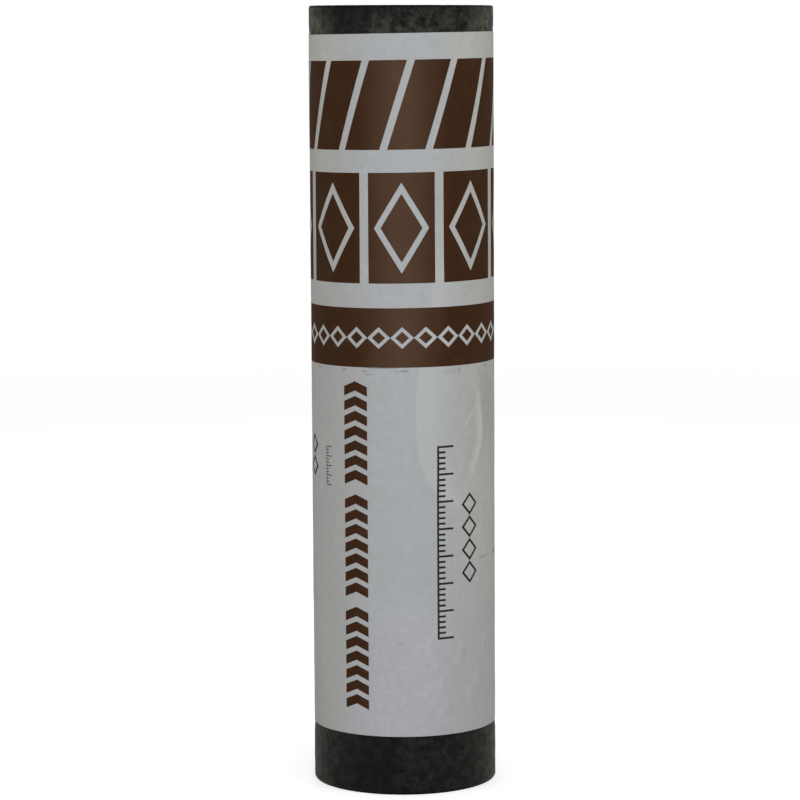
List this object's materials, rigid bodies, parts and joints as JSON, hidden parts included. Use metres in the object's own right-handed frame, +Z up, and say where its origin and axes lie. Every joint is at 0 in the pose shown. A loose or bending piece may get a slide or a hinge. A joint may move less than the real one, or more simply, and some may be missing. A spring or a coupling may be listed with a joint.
{
  "type": "roll of roofing felt",
  "caption": "Roll of mineral-surfaced roofing felt standing on its end, one long sheet wound round an open bore, with a printed paper wrapper glued round its middle.",
  "frame": {"origin": "middle of the roll's base, where the roll stands on the floor", "axes": "+Z up along the roll's axis, -Y towards the printed front, +Y towards the back, where the ends of the felt and of the paper lie"},
  "size_m": [0.2152, 0.2166, 0.9144],
  "materials": {
    "felt": "matte",
    "paper": "matte"
  },
  "bodies": {
    "root": {"felt_roll": "felt", "paper_wrapper": "paper"}
  },
  "joints": []
}
